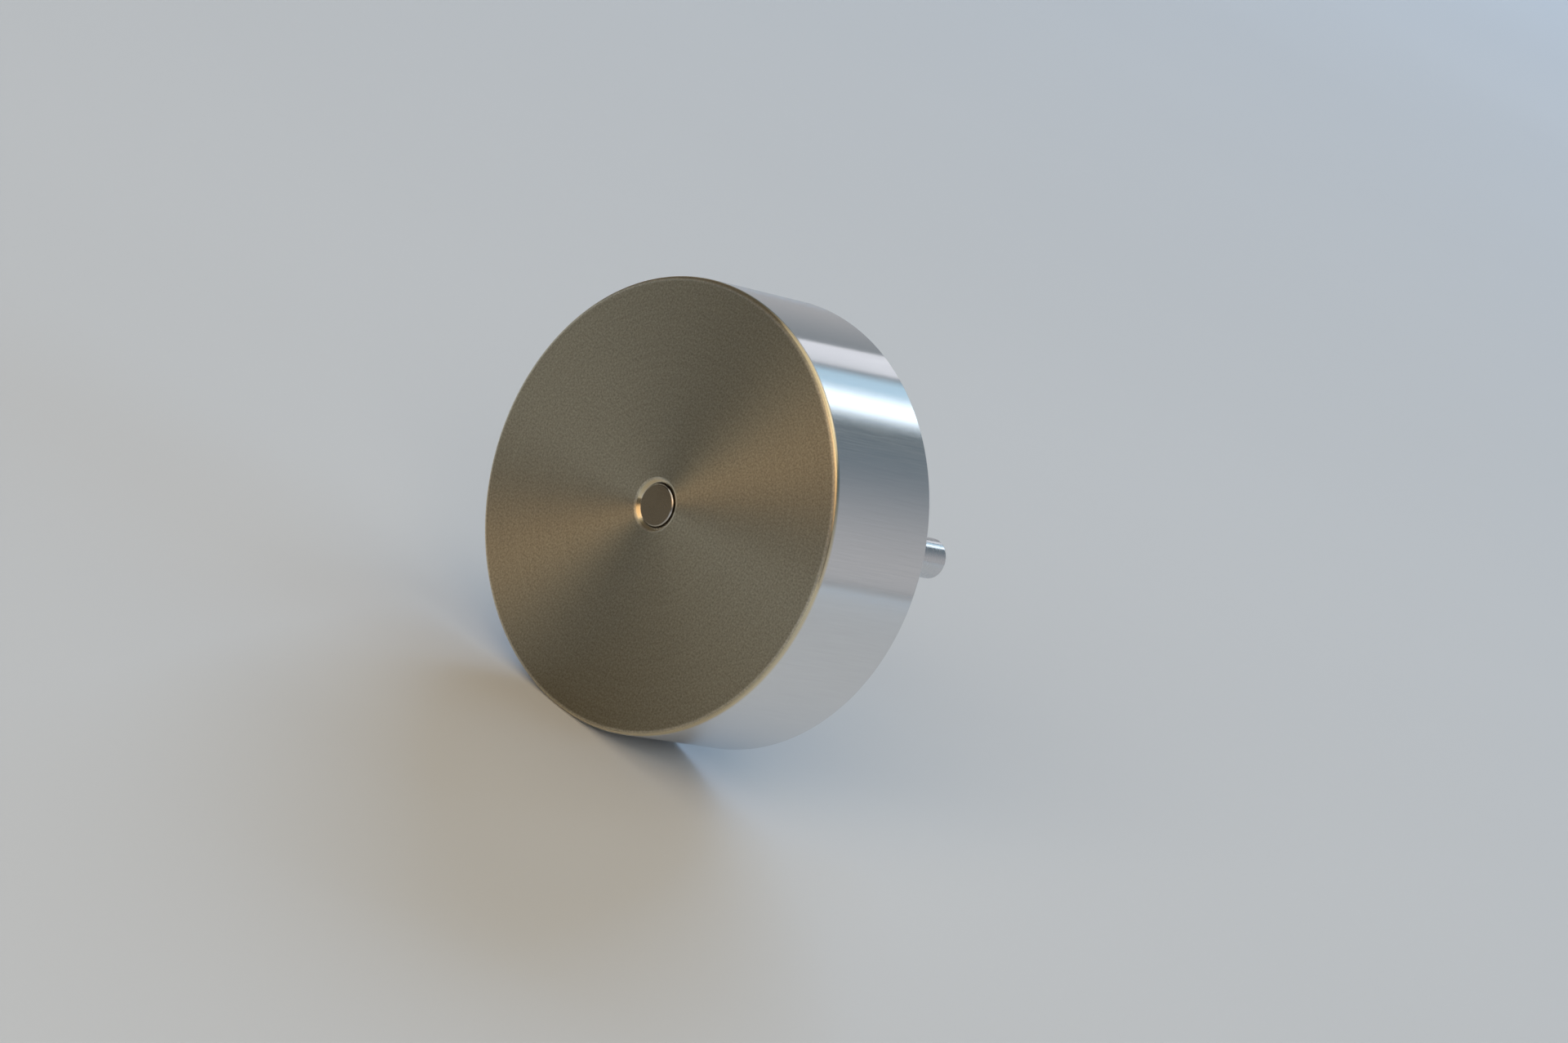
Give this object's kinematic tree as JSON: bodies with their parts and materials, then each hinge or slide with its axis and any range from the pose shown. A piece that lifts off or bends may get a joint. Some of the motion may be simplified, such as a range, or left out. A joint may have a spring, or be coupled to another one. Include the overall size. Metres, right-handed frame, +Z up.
{
  "type": "brushless motor",
  "caption": "Flat outer-rotor brushless motor: turned rotor cup spinning round a wound stator, with a flange, output shaft, sensor board and side connector.",
  "frame": {"origin": "centre of the mounting face, on the shaft axis", "axes": "+Y along the shaft towards its free end, +Z up with the motor lying on its side, connector tab towards -X"},
  "size_m": [0.0487, 0.0417, 0.0428],
  "materials": {
    "turned_steel": "fine turned, bright",
    "ground_steel": "ground",
    "bearing_steel": "polished",
    "spring_steel": "rolled",
    "lamination_steel": "dull stamped",
    "turned_aluminium": "turned",
    "magnet": "dull coated",
    "enamelled_copper": "enamelled wire",
    "tinned_copper": "tin plated",
    "insulator_plastic": "moulded",
    "cage_plastic": "moulded",
    "sensor_plastic": "moulded epoxy",
    "capacitor_body": "fired ceramic",
    "connector_plastic": "moulded",
    "board_laminate": "solder mask"
  },
  "bodies": {
    "stator": {"mounting_flange": "turned_aluminium", "stator_core": "lamination_steel", "front_end_insulator": "insulator_plastic", "rear_end_insulator": "insulator_plastic", "phase_u_coils": "enamelled_copper", "phase_v_coils": "enamelled_copper", "phase_w_coils": "enamelled_copper", "phase_leads": "tinned_copper", "hall_board": "board_laminate", "hall_sensors": "sensor_plastic", "board_capacitors": "capacitor_body", "connector_housing": "connector_plastic", "connector_pins": "tinned_copper", "preload_wave_spring": "spring_steel", "front_bearing_outer_ring": "bearing_steel", "front_bearing_shields": "spring_steel", "rear_bearing_outer_ring": "bearing_steel", "rear_bearing_shields": "spring_steel"},
    "rotor": {"rotor_cup": "turned_steel", "rotor_magnets": "magnet", "shaft": "ground_steel", "hub_spacer": "ground_steel", "retaining_ring": "spring_steel", "front_bearing_inner_ring": "bearing_steel", "rear_bearing_inner_ring": "bearing_steel"},
    "front_ball_set": {"front_bearing_balls": "bearing_steel", "front_bearing_cage": "cage_plastic"},
    "rear_ball_set": {"rear_bearing_balls": "bearing_steel", "rear_bearing_cage": "cage_plastic"}
  },
  "joints": [
    {"name": "rotor_spin", "type": "hinge", "parent": "stator", "child": "rotor", "pos_m": [0, 0, 0], "axis": [0, 1, 0], "continuous": true},
    {"name": "front_cage_turn", "type": "hinge", "parent": "stator", "child": "front_ball_set", "pos_m": [0, -0.0009, 0], "axis": [0, 1, 0], "continuous": true},
    {"name": "rear_cage_turn", "type": "hinge", "parent": "stator", "child": "rear_ball_set", "pos_m": [0, -0.0145, 0], "axis": [0, 1, 0], "continuous": true}
  ],
  "couplings": [
    {"joint": "front_cage_turn", "follows": "rotor_spin", "ratio": 0.39286},
    {"joint": "rear_cage_turn", "follows": "rotor_spin", "ratio": 0.39286}
  ]
}
